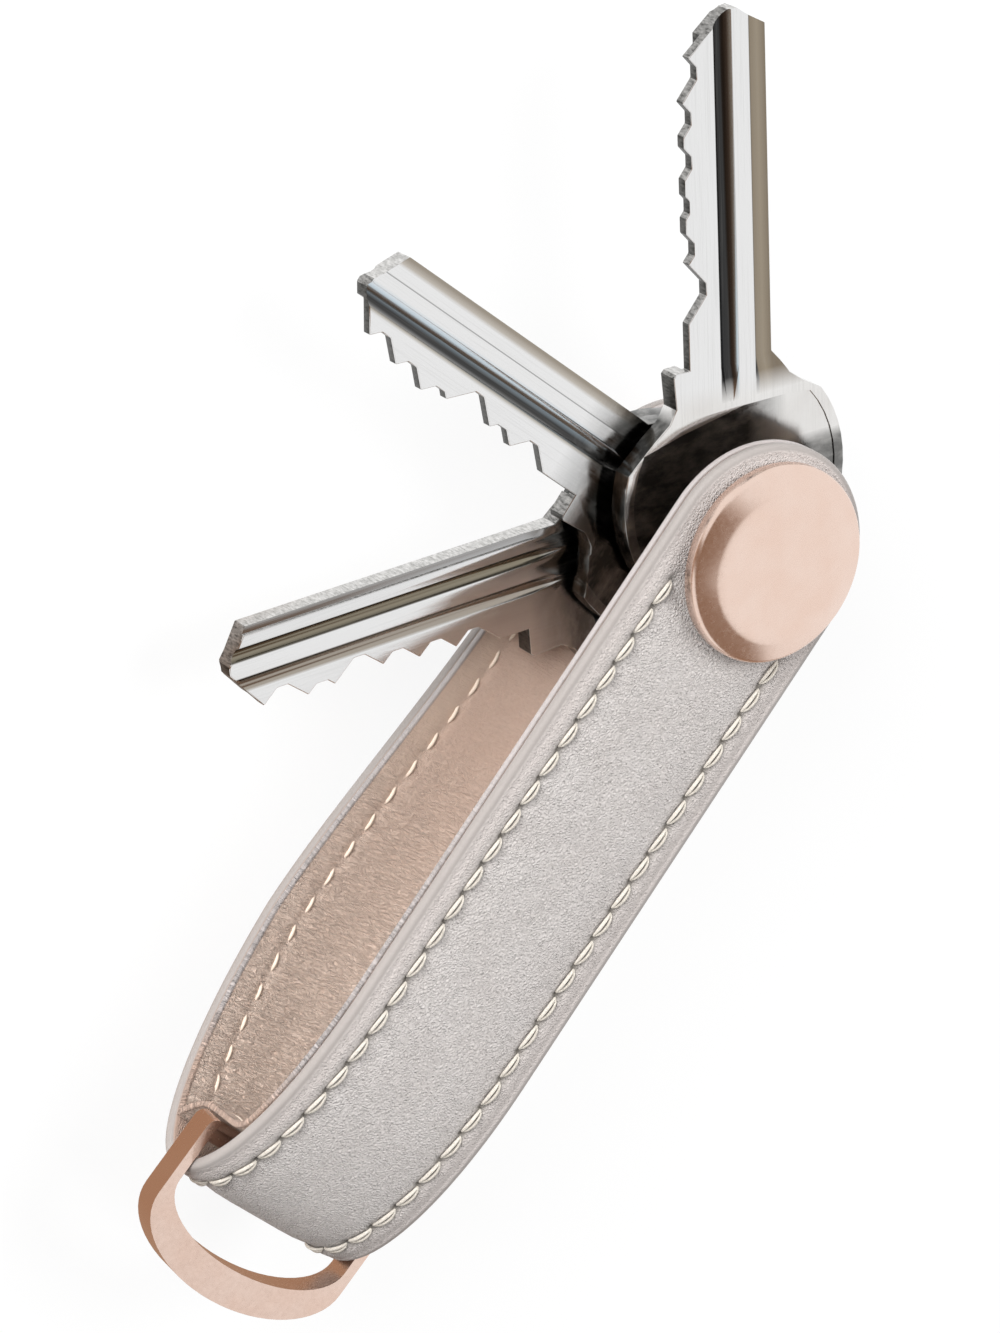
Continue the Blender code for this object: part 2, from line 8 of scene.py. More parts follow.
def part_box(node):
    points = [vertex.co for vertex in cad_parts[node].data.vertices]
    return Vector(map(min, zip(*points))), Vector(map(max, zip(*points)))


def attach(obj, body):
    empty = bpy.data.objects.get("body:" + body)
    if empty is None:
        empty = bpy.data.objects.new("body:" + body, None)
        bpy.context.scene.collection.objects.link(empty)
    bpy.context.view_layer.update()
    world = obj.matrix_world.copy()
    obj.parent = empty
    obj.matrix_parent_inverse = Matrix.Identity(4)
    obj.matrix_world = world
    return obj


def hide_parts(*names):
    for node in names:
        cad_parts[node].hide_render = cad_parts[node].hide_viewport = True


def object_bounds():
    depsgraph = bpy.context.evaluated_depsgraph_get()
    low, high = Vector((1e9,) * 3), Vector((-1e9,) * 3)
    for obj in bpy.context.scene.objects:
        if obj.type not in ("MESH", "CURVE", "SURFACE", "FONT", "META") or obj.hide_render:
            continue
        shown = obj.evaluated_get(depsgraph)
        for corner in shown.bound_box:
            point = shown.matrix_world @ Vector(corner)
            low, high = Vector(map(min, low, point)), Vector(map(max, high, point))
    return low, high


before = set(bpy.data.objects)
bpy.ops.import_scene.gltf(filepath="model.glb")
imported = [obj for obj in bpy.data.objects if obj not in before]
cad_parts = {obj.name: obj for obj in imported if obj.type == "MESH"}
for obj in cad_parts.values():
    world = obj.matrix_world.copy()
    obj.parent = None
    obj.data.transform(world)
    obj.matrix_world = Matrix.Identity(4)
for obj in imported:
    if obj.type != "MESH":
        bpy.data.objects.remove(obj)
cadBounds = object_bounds()

mm = 0.001
closeBy = 0.01 * mm           # places nearer than this count as one


# handling objects

def deselectAll():
    if bpy.context.object and bpy.context.object.mode != "OBJECT":
        bpy.ops.object.mode_set(mode="OBJECT")
    bpy.ops.object.select_all(action="DESELECT")


def pick(obj):
    deselectAll()
    obj.select_set(True)
    bpy.context.view_layer.objects.active = obj


def openMesh(obj, mode="FACE"):
    pick(obj)
    bpy.ops.object.mode_set(mode="EDIT")
    bpy.ops.mesh.select_mode(type=mode)
    bpy.ops.mesh.select_all(action="DESELECT")


def selectFaces(obj, wanted):
    # picks faces by their middle and normal, with the mesh open
    mesh = bmesh.from_edit_mesh(obj.data)
    mesh.normal_update()
    for face in mesh.faces:
        face.select = bool(wanted(face.calc_center_median(), face.normal))
    mesh.select_flush_mode()
    bmesh.update_edit_mesh(obj.data)


def selectEdges(obj, wanted):
    # picks edges by their two ends, with the mesh open
    mesh = bmesh.from_edit_mesh(obj.data)
    for edge in mesh.edges:
        edge.select = bool(wanted(edge.verts[0].co, edge.verts[1].co))
    mesh.select_flush_mode()
    bmesh.update_edit_mesh(obj.data)


def closeMesh():
    bpy.ops.object.mode_set(mode="OBJECT")


def applyModifiers(obj):
    pick(obj)
    for modifier in list(obj.modifiers):
        bpy.ops.object.modifier_apply(modifier=modifier.name)


def settle(obj):
    # leaves the object at the origin, with its place in its mesh
    pick(obj)
    bpy.ops.object.transform_apply(location=True, rotation=True, scale=True)


def smooth(obj, angle=30):
    pick(obj)
    bpy.ops.object.shade_smooth_by_angle(angle=math.radians(angle))


def drop(obj):
    bpy.data.objects.remove(obj, do_unlink=True)


def joinAll(objs, name):
    deselectAll()
    for obj in objs:
        obj.select_set(True)
    bpy.context.view_layer.objects.active = objs[0]
    bpy.ops.object.join()
    objs[0].name = name
    objs[0].data.name = name
    return objs[0]


def finishPiece(obj, body, slotName, material, *nodes):
    obj.data.materials.clear()
    obj.data.materials.append(material)
    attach(obj, body)
    if nodes:
        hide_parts(*nodes)


# making materials

class Nodes:
    # a short way to lay out a material's nodes
    def __init__(self, name, colour, rough, metal=0.0):
        self.material = bpy.data.materials.new(name)
        self.material.use_nodes = True
        self.tree = self.material.node_tree
        self.shader = self.tree.nodes["Principled BSDF"]
        self.put("Base Color", (*colour, 1.0))
        self.put("Roughness", rough)
        self.put("Metallic", metal)

    def put(self, socket, value):
        self.shader.inputs[socket].default_value = value

    def add(self, kind, **settings):
        node = self.tree.nodes.new(kind)
        for name, value in settings.items():
            setattr(node, name, value)
        return node

    def link(self, start, end):
        self.tree.links.new(start, end)

    def coords(self, scale=(1, 1, 1), turn=(0, 0, 0), uv=False):
        # object coordinates, or the piece's own flat ones, in millimetres
        source = self.add("ShaderNodeUVMap", uv_map="flat") if uv else self.add("ShaderNodeTexCoord")
        mapping = self.add("ShaderNodeMapping")
        grow = 1 if uv else 1000
        mapping.inputs["Scale"].default_value = [grow * s for s in scale]
        mapping.inputs["Rotation"].default_value = turn
        self.link(source.outputs["UV" if uv else "Object"], mapping.inputs["Vector"])
        return mapping.outputs["Vector"]

    def stretch(self, vector, scale):
        mapping = self.add("ShaderNodeMapping")
        mapping.inputs["Scale"].default_value = scale
        self.link(vector, mapping.inputs["Vector"])
        return mapping.outputs["Vector"]

    def split(self, vector):
        node = self.add("ShaderNodeSeparateXYZ")
        self.link(vector, node.inputs["Vector"])
        return node.outputs

    def noise(self, vector, scale, detail=3, rough=0.55, distort=0.0):
        node = self.add("ShaderNodeTexNoise")
        node.inputs["Scale"].default_value = scale
        node.inputs["Detail"].default_value = detail
        node.inputs["Roughness"].default_value = rough
        node.inputs["Distortion"].default_value = distort
        self.link(vector, node.inputs["Vector"])
        return node.outputs["Fac"]

    def cells(self, vector, scale, feature="DISTANCE_TO_EDGE"):
        node = self.add("ShaderNodeTexVoronoi", feature=feature)
        node.inputs["Scale"].default_value = scale
        self.link(vector, node.inputs["Vector"])
        return node.outputs["Distance"]

    def attribute(self, name):
        return self.add("ShaderNodeAttribute", attribute_name=name).outputs["Fac"]

    def ramp(self, value, stops):
        node = self.add("ShaderNodeValToRGB")
        elements = node.color_ramp.elements
        while len(elements) < len(stops):
            elements.new(0.5)
        for element, (place, colour) in zip(elements, stops):
            element.position = place
            element.color = (*colour, 1) if isinstance(colour, tuple) else (colour, colour, colour, 1)
        self.link(value, node.inputs["Fac"])
        return node.outputs["Color"]

    def spread(self, value, low, high, newLow=0.0, newHigh=1.0):
        node = self.add("ShaderNodeMapRange")
        limits = (("From Min", low), ("From Max", high), ("To Min", newLow), ("To Max", newHigh))
        for socket, number in limits:
            node.inputs[socket].default_value = number
        self.link(value, node.inputs["Value"])
        return node.outputs["Result"]

    def maths(self, work, first, second):
        node = self.add("ShaderNodeMath", operation=work)
        for socket, value in zip(node.inputs, (first, second)):
            if isinstance(value, (int, float)):
                socket.default_value = value
            else:
                self.link(value, socket)
        return node.outputs["Value"]

    def mix(self, amount, first, second):
        node = self.add("ShaderNodeMix", data_type="RGBA")
        sockets = (node.inputs["Factor"], node.inputs[6], node.inputs[7])
        for socket, value in zip(sockets, (amount, first, second)):
            if isinstance(value, (int, float)):
                socket.default_value = value
            elif isinstance(value, tuple):
                socket.default_value = (*value, 1)
            else:
                self.link(value, socket)
        return node.outputs[2]

    def bump(self, height, depth, strength=1.0, after=None):
        # depth is how far the height's 0 to 1 stands for, in metres
        node = self.add("ShaderNodeBump")
        node.inputs["Strength"].default_value = strength
        node.inputs["Distance"].default_value = depth
        self.link(height, node.inputs["Height"])
        if after:
            self.link(after, node.inputs["Normal"])
        return node.outputs["Normal"]

    def use(self, socket, value):
        self.link(value, self.shader.inputs[socket])


# the loop that the band is folded into, as (y, z) along its outside

loop = dict(
    flatLength=47.0 * mm,     # from the post to where the front starts to bend
    foldDepth=8.8 * mm,       # of the fold's outermost line, below the front
    bulgeAt=46.0 * mm,        # from the post to where the back hangs lowest
    clampLength=12.0 * mm,    # of the back that the post holds flat
    leather=1.2 * mm,
    liningTop=1.3 * mm,       # from the outside of the leather to the lining
    lining=0.55 * mm,
    tunnelDepth=6.25 * mm,    # from the outside of the fold to the lining's face
    tunnelTop=5.4 * mm,       # of the lining's straight drop, below the front
    tunnelFoot=8.8 * mm,
    tunnelSpread=2.3 * mm,    # how much nearer to the fold the drop's foot meets the leather
    tunnelClear=1.2 * mm,     # from the drop to where the lining leaves the front's leather
    width=20.0 * mm,
    holeRadius=3.3 * mm,
    holeSteps=48,
    steps=40,                 # of each bend
    dropSteps=8,              # of the tunnel's upper bend, and of its lower one
    footSteps=10,
)

# the handles of the bends, as shares of the run or the height that each bend spans
handles = dict(
    turn=0.62,
    foldUp=0.54,
    foldDown=0.52,
    belly=0.55,
    bellyRise=0.3,
    back=0.3,
    backSag=0.04,
    clamp=0.35,
)

# the same for the bends of the lining beside the tunnel, as lengths
tunnelHandles = dict(
    leave=0.4 * mm,
    dropDown=1.0 * mm,
    dropFoot=1.2 * mm,
    meetAlong=0.8 * mm,
    meetUp=0.5 * mm,
)

bandLow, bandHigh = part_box("outer_leather_band")
loopFront = bandHigh[2]
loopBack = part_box("threaded_post")[0][2]
loopEnd = bandHigh[1]
loopFold = bandLow[1]
loopBelly = bandLow[2]
ground = cadBounds[0][2] - 0.14 * mm      # the lowest stitches stand a little out of the band


def bezierRun(p0, p1, p2, p3, steps):
    run = []
    for i in range(steps):
        t = i / steps
        s = 1 - t
        weights = (s ** 3, 3 * s * s * t, 3 * s * t * t, t ** 3)
        points = list(zip(weights, (p0, p1, p2, p3)))
        run.append(tuple(sum(weight * point[k] for weight, point in points) for k in range(2)))
    return run


def loopRun():
    bend = -loopFold - loop["flatLength"]
    belly = -loopFold - loop["bulgeAt"]
    rise = loop["bulgeAt"] - loop["clampLength"]
    bulge = loopBack - loopBelly
    turn = (-loop["flatLength"], loopFront)
    fold = (loopFold, loopFront - loop["foldDepth"])
    low = (-loop["bulgeAt"], loopBelly)
    clamp = (-loop["clampLength"], loopBack)
    run = [(loopEnd, loopFront), (0, loopFront)]
    run += bezierRun(turn, (turn[0] - handles["turn"] * bend, loopFront),
                     (fold[0], fold[1] + handles["foldUp"] * loop["foldDepth"]), fold, loop["steps"])
    run += bezierRun(fold, (fold[0], fold[1] + handles["foldDown"] * (low[1] - fold[1])),
                     (low[0] - handles["belly"] * belly, low[1] + handles["bellyRise"] * bulge),
                     low, loop["steps"])
    run += bezierRun(low, (low[0] + handles["back"] * rise, low[1] - handles["backSag"] * bulge),
                     (clamp[0] - handles["clamp"] * rise, loopBack), clamp, loop["steps"])
    return run + [clamp, (0, loopBack), (loopEnd, loopBack)]


def offsetRun(run, distance):
    # the run moved inwards, to the left of its direction of travel
    moved = []
    for i, (y, z) in enumerate(run):
        y0, z0 = run[max(i - 1, 0)]
        y1, z1 = run[min(i + 1, len(run) - 1)]
        length = math.hypot(y1 - y0, z1 - z0)
        moved.append((y - (z1 - z0) / length * distance, z + (y1 - y0) / length * distance))
    return moved


def liningRun(outer):
    # along the leather, then straight across the tunnel
    run = offsetRun(outer, loop["liningTop"])
    face = loopFold + loop["tunnelDepth"] - loop["lining"]
    fold = min(range(len(run)), key=lambda i: run[i][0])
    front = [p for p in run[:fold] if p[0] > face + loop["tunnelClear"]]
    back = [p for p in run[fold:] if p[0] > face - loop["tunnelSpread"]]
    top = (face, loopFront - loop["tunnelTop"])
    foot = (face, loopFront - loop["tunnelFoot"])
    leave, meet = front[-1], back[0]
    down = bezierRun(leave, (face + tunnelHandles["leave"], leave[1] - tunnelHandles["leave"]),
                     (face, top[1] + tunnelHandles["dropDown"]), top, loop["dropSteps"])
    up = bezierRun(foot, (face, foot[1] - tunnelHandles["dropFoot"]),
                   (meet[0] + tunnelHandles["meetAlong"], meet[1] + tunnelHandles["meetUp"]),
                   meet, loop["footSteps"])
    return front + down[1:] + [top] + up + back


def runLength(run):
    return sum(math.dist(a, b) for a, b in zip(run, run[1:]))


def loopCurve(name, run):
    data = bpy.data.curves.new(name, "CURVE")
    data.dimensions = "2D"
    spline = data.splines.new("POLY")
    spline.points.add(len(run) - 1)
    for point, (y, z) in zip(spline.points, run):
        point.co = (y, z, 0, 1)
    curve = bpy.data.objects.new(name, data)
    bpy.context.scene.collection.objects.link(curve)
    curve.rotation_euler = (math.radians(90), 0, math.radians(90))
    return curve


def wrapOnLoop(obj, curve):
    # obj lies flat: X along the band, Y across it, and its outer face up at Z 0
    settle(obj)
    obj.rotation_euler = (math.radians(90), 0, 0)
    bpy.ops.object.transform_apply(location=False, rotation=True, scale=False)
    obj.rotation_euler = curve.rotation_euler
    bend = obj.modifiers.new("loop", "CURVE")
    bend.object = curve
    bend.deform_axis = "POS_X"
    applyModifiers(obj)
    settle(obj)
    smooth(obj, 60)


# the two layers of the band

def makeStrip(name, run, thick, layer):
    # half of the strip from a round end to its middle, mirrored, then pierced for the post
    parts = 8                 # of the straight side, each of them divided again
    length = runLength(run)
    radius = loop["width"] / 2
    half = length / 2
    centre = -half + radius
    bpy.ops.mesh.primitive_cylinder_add(vertices=layer["round"], radius=radius, depth=thick,
                                        location=(centre, 0, -thick / 2))
    strip = bpy.context.object
    strip.name = name
    strip.data.name = name
    settle(strip)
    openMesh(strip, "EDGE")
    selectEdges(strip, lambda a, b: abs(a.z - b.z) < thick / 9)
    bpy.ops.mesh.bevel(offset=layer["rim"], segments=4, profile=0.6, affect="EDGES")
    bpy.ops.mesh.select_mode(type="FACE")
    for side, places in ((1, layer["top"]), (-1, layer["under"])):
        selectFaces(strip, lambda c, n: n.z * side > 0.9999)
        last = layer["rim"]
        for place in places:
            bpy.ops.mesh.inset(thickness=place - last, depth=0)
            last = place
        bpy.ops.mesh.poke()
    bpy.ops.mesh.select_all(action="SELECT")
    bpy.ops.mesh.bisect(plane_co=(centre, 0, 0), plane_no=(1, 0, 0), clear_outer=True)
    bpy.ops.mesh.select_mode(type="EDGE")
    selectEdges(strip, lambda a, b: max(abs(a.x - centre), abs(b.x - centre)) < closeBy)
    bpy.ops.mesh.extrude_region_move(TRANSFORM_OT_translate={"value": (-centre, 0, 0)})
    selectEdges(strip, lambda a, b: abs(a.x - b.x) > -centre * 0.9)
    bpy.ops.mesh.subdivide(number_cuts=int(-centre / layer["step"] / parts))
    selectEdges(strip, lambda a, b: min(a.x, b.x) > centre - closeBy and abs(a.x - b.x) > layer["step"])
    bpy.ops.mesh.subdivide(number_cuts=parts - 1)
    closeMesh()
    mirror = strip.modifiers.new("mirror", "MIRROR")
    mirror.merge_threshold = closeBy
    applyModifiers(strip)
    for end in (-1, 1):
        bpy.ops.mesh.primitive_cylinder_add(vertices=loop["holeSteps"], radius=loop["holeRadius"],
                                            depth=9 * thick, location=(end * (half - loopEnd), 0, 0))
        punch = bpy.context.object
        cut = strip.modifiers.new("hole", "BOOLEAN")
        cut.object = punch
        applyModifiers(strip)
        drop(punch)
    strip.location = (half, 0, 0)
    settle(strip)
    markStrip(strip, length)
    return strip, length


def edgeDistance(x, y, length):
    # from a place on the flat strip to its outline
    radius = loop["width"] / 2
    past = max(radius - x, x - (length - radius), 0)
    return radius - math.hypot(past, y)


def markStrip(strip, length):
    # keeps flat places as a UV map in millimetres, and the distance to the edge
    mesh = strip.data
    flat = mesh.uv_layers.new(name="flat")
    rim = mesh.attributes.new("edgeDistance", "FLOAT", "POINT")
    for vert in mesh.vertices:
        rim.data[vert.index].value = edgeDistance(vert.co.x, vert.co.y, length) / mm
    for corner in mesh.loops:
        place = mesh.vertices[corner.vertex_index].co
        flat.data[corner.index].uv = (place.x / mm, place.y / mm)


stitching = dict(
    fromEdge=2.8 * mm,
    pitch=2.77 * mm,
    first=15.6 * mm,          # from the band's round end to the first hole
    holeRadius=0.34 * mm,
    holeDepth=0.3 * mm,
    channel=0.28 * mm,
    channelWidth=0.5 * mm,    # towards the band's edge
    hollowWidth=1.8 * mm,     # towards its middle, where the leather rises as if padded
    farOff=3,                 # widths from a row, past which the leather is flat
    skin=0.05 * mm,           # depth of the face that is pressed
    rowShade=0.75,            # painted shade along the row between its holes
    rowWidth=0.36 * mm,
    holeShade=1.3,            # how much wider than a hole its painted shade is
    sink=0.35 * mm,           # of a stitch's ends, below the face
    steps=9,                  # along a stitch
    curve=0.6,                # below 1, a stitch rises steeply from its hole
    thinEnd=0.6,              # a ply's width at a hole
)

# reach is the share of the pitch that one stitch covers, thread is a ply's radius,
# and plyGap is from the stitch's middle to a ply's
outerStitch = dict(inside=False, reach=0.84, plies=(-1, 1), plyGap=0.25 * mm,
                   thread=0.16 * mm, slant=0.22 * mm, rise=0.0)
innerStitch = dict(inside=True, reach=0.72, plies=(0,), plyGap=0.0,
                   thread=0.17 * mm, slant=0.3 * mm, rise=0.1 * mm)


def stitchCount(length):
    return int((length - 2 * stitching["first"]) / stitching["pitch"])


def pressStitches(strip, length):
    # a shallow channel along each row and a dip at each hole, with painted shade along the row and round
    # each hole
    holes = stitchCount(length)
    stitchShade = strip.data.attributes.new("stitchShade", "FLOAT", "POINT")
    for vert in strip.data.vertices:
        x, y, z = vert.co
        if z < -stitching["skin"]:
            continue
        inwards = loop["width"] / 2 - abs(y) - stitching["fromEdge"]
        across = inwards / stitching["channelWidth" if inwards < 0 else "hollowWidth"]
        if abs(across) > stitching["farOff"]:
            continue
        turn = (x - stitching["first"]) / stitching["pitch"]
        ends = min(max(turn + 0.5, 0), max(holes + 0.5 - turn, 0), 1)
        nearest = min(max(round(turn), 0), holes)
        off = math.hypot((turn - nearest) * stitching["pitch"], inwards)
        dip = stitching["channel"] * ends * math.exp(-across ** 2)
        dip += stitching["holeDepth"] * math.exp(-(off / stitching["holeRadius"]) ** 2)
        vert.co.z -= dip
        row = stitching["rowShade"] * math.exp(-(inwards / stitching["rowWidth"]) ** 2)
        hole = math.exp(-(off / (stitching["holeShade"] * stitching["holeRadius"])) ** 2)
        stitchShade.data[vert.index].value = ends * max(row, hole)


# of each layer, round is the number of corners of its outline at a round end, rim is the
# width of its rounded edge, top and under are the rings of its two faces, from the edge
# inwards, and step is the length of its faces along the band

bandLeather = dict(
    round=144,
    rim=0.42 * mm,
    top=[0.62 * mm, 0.78 * mm, 0.94 * mm, 1.2 * mm, 1.7 * mm, 2.1 * mm, 2.4 * mm, 2.6 * mm, 2.8 * mm,
         3.0 * mm, 3.25 * mm, 3.6 * mm, 4.3 * mm, 5.4 * mm, 7.0 * mm, 9.0 * mm],
    under=[1.0 * mm, 3.0 * mm, 6.0 * mm, 9.0 * mm],
    step=0.34 * mm,
    creaseAt=0.95 * mm,
    crease=0.08 * mm,
    creaseWidth=0.2 * mm,
    roll=0.24 * mm,           # how much the border falls towards the edge
    rollCurve=1.5,
)

bandLining = dict(
    round=144,
    rim=0.2 * mm,
    top=[1.0 * mm, 3.0 * mm, 6.0 * mm, 9.0 * mm],
    under=[0.5 * mm, 0.8 * mm, 1.2 * mm, 1.6 * mm, 2.0 * mm, 2.3 * mm, 2.55 * mm, 2.8 * mm, 3.05 * mm,
           3.3 * mm, 3.6 * mm, 4.0 * mm, 4.5 * mm, 5.0 * mm, 5.5 * mm, 6.0 * mm, 6.6 * mm, 7.2 * mm,
           7.8 * mm, 8.4 * mm, 9.0 * mm, 9.6 * mm],
    step=0.3 * mm,
    wrinkle=0.14 * mm,
    wrinkleReach=42.0 * mm,   # along the band, each way from the fold
    wrinklePitch=0.75 * mm,
    wrinkleLength=4.5 * mm,
    sway=0.4,                 # of a wrinkle, as a share of the pitch
    swayLength=2.1 * mm,
    smoothEdge=0.6 * mm,      # border without wrinkles, and how wide they fade in past it
    smoothFade=1.2 * mm,
    leastFold=0.12,           # what the nearFold attribute starts from
    foldCurve=0.7,
    hem=0.12 * mm,            # depth of the line that each row of stitches presses
    hemWidth=0.5 * mm,
    hemFrom=12.0 * mm,        # from each round end
)


def makeLeather(run):
    strip, length = makeStrip("bandLeather", run, loop["leather"], bandLeather)
    pressStitches(strip, length)
    under = strip.data.attributes.new("underside", "FLOAT", "POINT")
    for vert in strip.data.vertices:
        deep = -vert.co.z > 0.97 * loop["leather"]
        under.data[vert.index].value = 1.0 if deep else 0.0
        if vert.co.z > -0.5 * loop["leather"]:
            edge = edgeDistance(vert.co.x, vert.co.y, length)
            off = (edge - bandLeather["creaseAt"]) / bandLeather["creaseWidth"]
            border = max(1 - edge / stitching["fromEdge"], 0)
            vert.co.z -= bandLeather["crease"] * math.exp(-off ** 2)
            vert.co.z -= bandLeather["roll"] * border ** bandLeather["rollCurve"]
    return strip, length


def makeLining(run):
    layer = bandLining
    strip, length = makeStrip("bandLining", run, loop["lining"], layer)
    folded = strip.data.attributes.new("nearFold", "FLOAT", "POINT")
    for vert in strip.data.vertices:
        x, y, z = vert.co
        near = max(0.0, 1 - abs(x - length / 2) / layer["wrinkleReach"])
        least = layer["leastFold"]
        folded.data[vert.index].value = least + (1 - least) * near ** layer["foldCurve"]
        if z > -0.5 * loop["lining"]:
            continue
        edge = loop["width"] / 2 - abs(y)
        inside = min(1.0, max(0.0, (edge - layer["smoothEdge"]) / layer["smoothFade"]))
        sway = layer["sway"] * math.sin(y / layer["swayLength"])
        place = Vector((x / layer["wrinklePitch"] + sway, y / layer["wrinkleLength"], 0))
        fold = 1 - 2 * abs(noise.noise(place))
        vert.co.z -= layer["wrinkle"] * inside * near * fold
        if layer["hemFrom"] < x < length - layer["hemFrom"]:
            across = (stitching["fromEdge"] - edge) / layer["hemWidth"]
            vert.co.z += layer["hem"] * math.exp(-across ** 2)
    return strip, length


def stitchPly(side, pitch, stitch):
    # one ply of a stitch, from hole to hole, as a tube
    data = bpy.data.curves.new("ply", "CURVE")
    data.dimensions = "3D"
    data.bevel_depth = stitch["thread"]
    data.bevel_resolution = 1
    data.use_fill_caps = True
    spline = data.splines.new("POLY")
    spline.points.add(stitching["steps"])
    for i, point in enumerate(spline.points):
        t = i / stitching["steps"]
        swell = math.sin(math.pi * t) ** stitching["curve"]
        lift = (stitch["rise"] + stitching["sink"]) * swell - stitching["sink"]
        across = stitch["slant"] * (0.5 - t) + stitch["plyGap"] * swell * side
        point.co = (stitch["reach"] * pitch * t, across, lift, 1)
        point.radius = stitching["thinEnd"] + (1 - stitching["thinEnd"]) * swell
    ply = bpy.data.objects.new("ply", data)
    bpy.context.scene.collection.objects.link(ply)
    pick(ply)
    bpy.ops.object.convert(target="MESH")
    return bpy.context.object


def makeStitches(name, length, curve, stitch):
    # two rows of one stitch, repeated along the band and wrapped on the loop
    count = stitchCount(length)
    pitch = stitching["pitch"]
    if stitch["inside"]:
        pitch = (length - 2 * stitching["first"]) / count
    rows = []
    for side in (-1, 1):
        row = joinAll([stitchPly(ply, pitch, stitch) for ply in stitch["plies"]], name)
        start = stitching["first"] + (1 - outerStitch["reach"]) / 2 * pitch
        row.location = (start, side * (loop["width"] / 2 - stitching["fromEdge"]), 0)
        settle(row)
        if stitch["inside"]:
            for vert in row.data.vertices:
                vert.co.z = -loop["lining"] - vert.co.z + stitch["rise"]
            row.data.flip_normals()
        repeat = row.modifiers.new("row", "ARRAY")
        repeat.count = count
        repeat.use_relative_offset = False
        repeat.use_constant_offset = True
        repeat.constant_offset_displace = (pitch, 0, 0)
        applyModifiers(row)
        rows.append(row)
    both = joinAll(rows, name)
    wrapOnLoop(both, curve)
    return both


# metal pieces

sharp = 32                    # degrees, from which a metal piece's edge stays an edge


def mergedCopy(node, name, angle=2.0):
    # a clean copy of a CAD node, without its loose triangles
    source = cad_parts[node]
    copy = bpy.data.objects.new(name, source.data.copy())
    bpy.context.scene.collection.objects.link(copy)
    copy.data.name = name
    openMesh(copy, "VERT")
    bpy.ops.mesh.select_all(action="SELECT")
    bpy.ops.mesh.remove_doubles(threshold=0.002 * mm)
    bpy.ops.mesh.dissolve_limited(angle_limit=math.radians(angle))
    closeMesh()
    return copy


def roundEdges(obj, width, segments):
    bevel = obj.modifiers.new("edges", "BEVEL")
    bevel.width = width
    bevel.segments = segments
    bevel.limit_method = "ANGLE"
    bevel.angle_limit = math.radians(sharp)
    bevel.use_clamp_overlap = True
    applyModifiers(obj)


button = dict(
    steps=160,
    rimHeight=1.2 * mm,
    faceRadius=6.2 * mm,
    rimRound=0.42 * mm,
    faceRound=0.5 * mm,
    underRound=0.14 * mm,
    pocketRadius=5.75 * mm,
    pocketDepth=1.1 * mm,
)


def makeButton():
    low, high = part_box("front_button")
    radius = high[0]
    height = high[2] - low[2]
    rim = button["rimHeight"]
    bpy.ops.mesh.primitive_cylinder_add(vertices=button["steps"], radius=radius, depth=rim,
                                        location=(0, 0, low[2] + rim / 2))
    cap = bpy.context.object
    cap.name = "buttonCap"
    cap.data.name = "buttonCap"
    settle(cap)
    openMesh(cap)
    selectFaces(cap, lambda c, n: n.z > 0.99)
    bpy.ops.mesh.extrude_region_move(TRANSFORM_OT_translate={"value": (0, 0, height - rim)})
    share = button["faceRadius"] / radius
    bpy.ops.transform.resize(value=(share, share, 1), center_override=(0, 0, high[2]))
    bpy.ops.mesh.select_mode(type="EDGE")
    for level, edgeRound, segments in ((high[2], button["faceRound"], 6),
                                       (low[2] + rim, button["rimRound"], 5),
                                       (low[2], button["underRound"], 3)):
        selectEdges(cap, lambda a, b: max(abs(a.z - level), abs(b.z - level)) < closeBy)
        bpy.ops.mesh.bevel(offset=edgeRound, segments=segments, affect="EDGES")
    bpy.ops.mesh.select_mode(type="FACE")
    selectFaces(cap, lambda c, n: n.z < -0.99)
    bpy.ops.mesh.inset(thickness=radius - button["underRound"] - button["pocketRadius"], depth=0)
    bpy.ops.mesh.extrude_region_move(TRANSFORM_OT_translate={"value": (0, 0, button["pocketDepth"])})
    closeMesh()
    smooth(cap, 35)
    return cap
